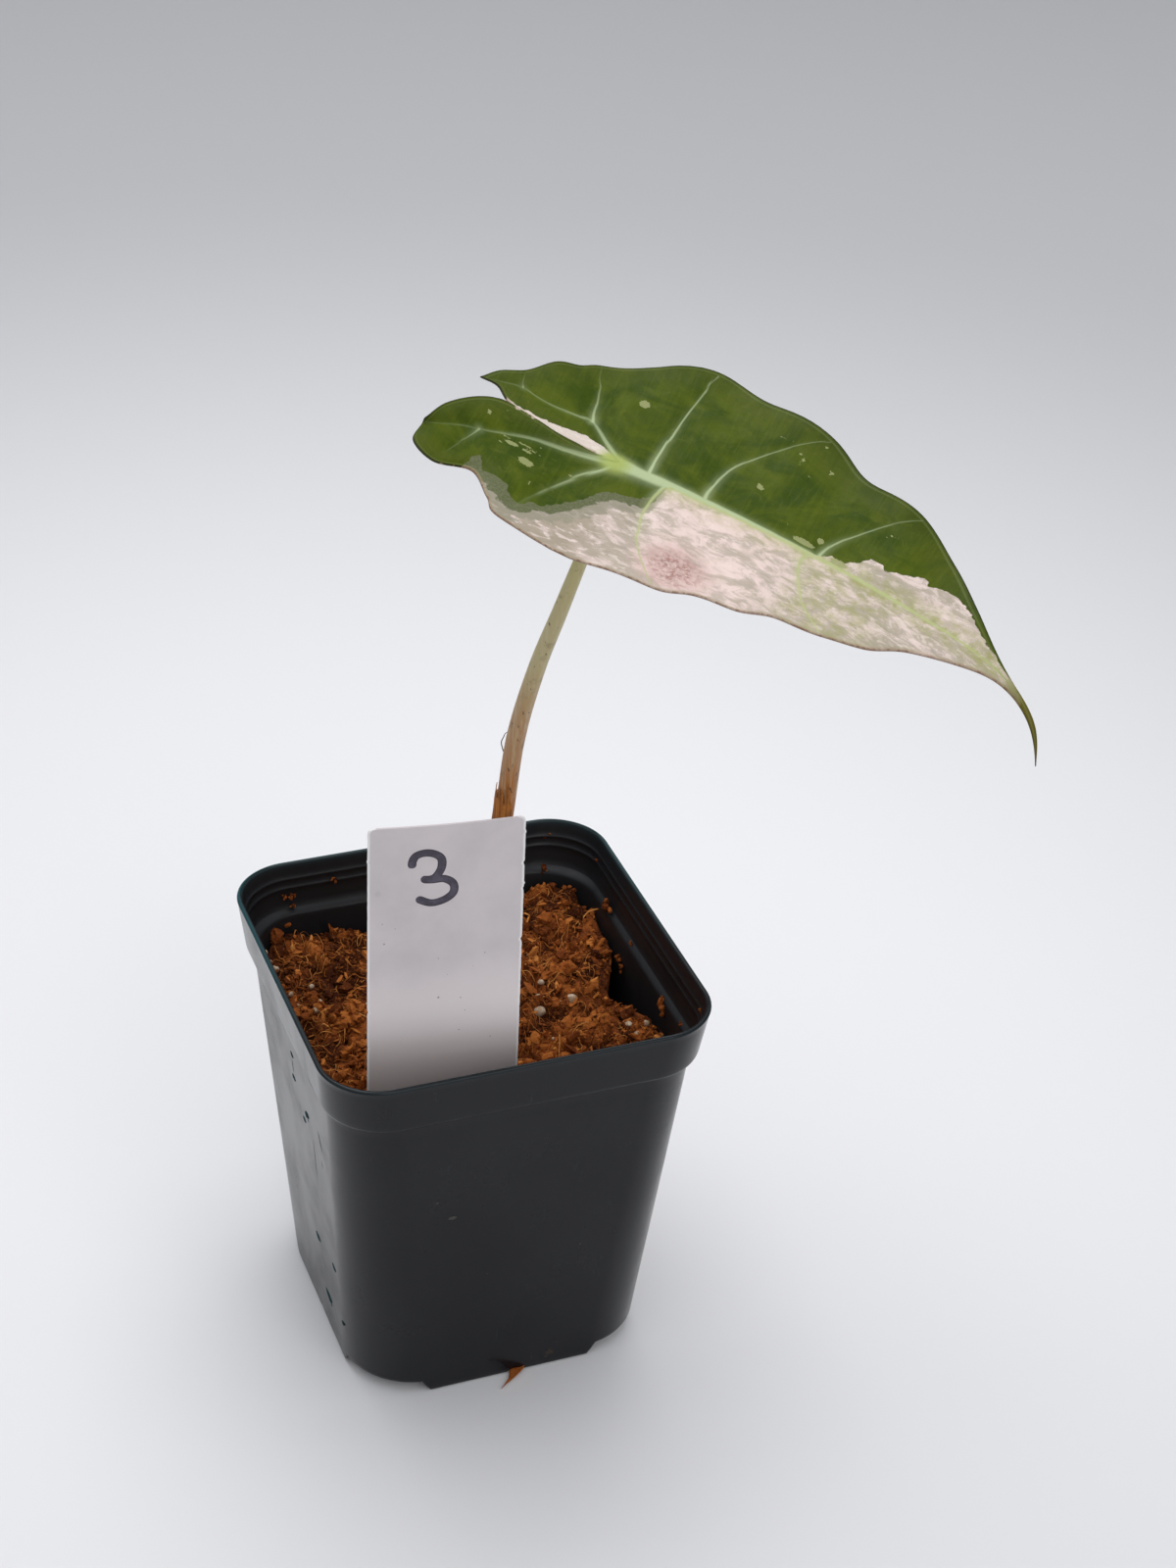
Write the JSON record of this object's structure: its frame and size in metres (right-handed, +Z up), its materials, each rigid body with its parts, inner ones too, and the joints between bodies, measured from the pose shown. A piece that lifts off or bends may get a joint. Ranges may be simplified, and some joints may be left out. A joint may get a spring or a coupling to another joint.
{
  "type": "potted alocasia polly",
  "caption": "Young potted alocasia with a variegated arrow-shaped leaf on an upright petiole, in coir mix in a square tapered nursery pot with a flat plant label.",
  "frame": {"origin": "middle of the pot's flat foot, on the surface that the pot stands on", "axes": "+Z up; +X and +Y square to the pot's sides, with the plant label near the -Y side"},
  "size_m": [0.1358, 0.1251, 0.2359],
  "materials": {
    "pot_plastic": "thin black plastic with a slight gloss, faint scratches and dust",
    "coir_mix": "damp red-brown coir, crumbly and fibrous, with perlite beads",
    "corm_skin": "rough brown corm skin and roots",
    "petiole_skin": "smooth olive-beige stalk that turns tan and brown towards its foot",
    "dry_sheath": "dry papery orange-brown sheath",
    "leaf_lamina": "waxy leaf, green with cream-pink variegation and pale veins",
    "label_plastic": "white satin plastic with a marker numeral and a few specks"
  },
  "bodies": {
    "root": {"nursery_pot": "pot_plastic", "potting_mix": "coir_mix", "corm": "corm_skin", "petiole": "petiole_skin", "basal_sheath": "dry_sheath", "leaf_blade": "leaf_lamina", "plant_label": "label_plastic"}
  },
  "joints": []
}
